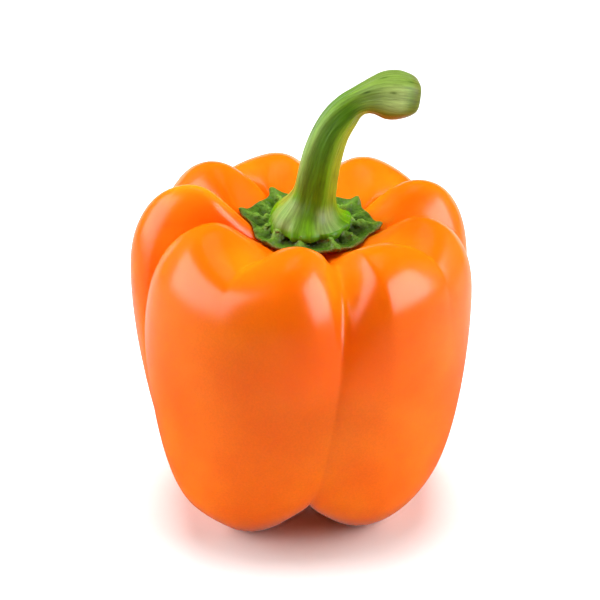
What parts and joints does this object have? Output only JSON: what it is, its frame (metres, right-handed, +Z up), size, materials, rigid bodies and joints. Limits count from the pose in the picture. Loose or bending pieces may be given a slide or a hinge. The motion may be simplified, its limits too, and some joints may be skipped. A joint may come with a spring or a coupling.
{
  "type": "bell pepper",
  "caption": "Blocky lobed bell pepper standing on its feet, with a flared, hooked stem and a pointed calyx in the hollow of its crown.",
  "frame": {"origin": "on the surface that the pepper stands on, under the middle of its box", "axes": "+Z up along the fruit, +X towards the side that the stem bends to, -Y towards the viewer"},
  "size_m": [0.0852, 0.0836, 0.1151],
  "materials": {
    "skin": "smooth waxy fruit skin, glossy",
    "calyx": "crinkled leafy green, satin",
    "stem": "fibrous green stalk with pale streaks, satin"
  },
  "bodies": {
    "root": {"fruit": "skin", "calyx": "calyx", "stem": "stem"}
  },
  "joints": []
}
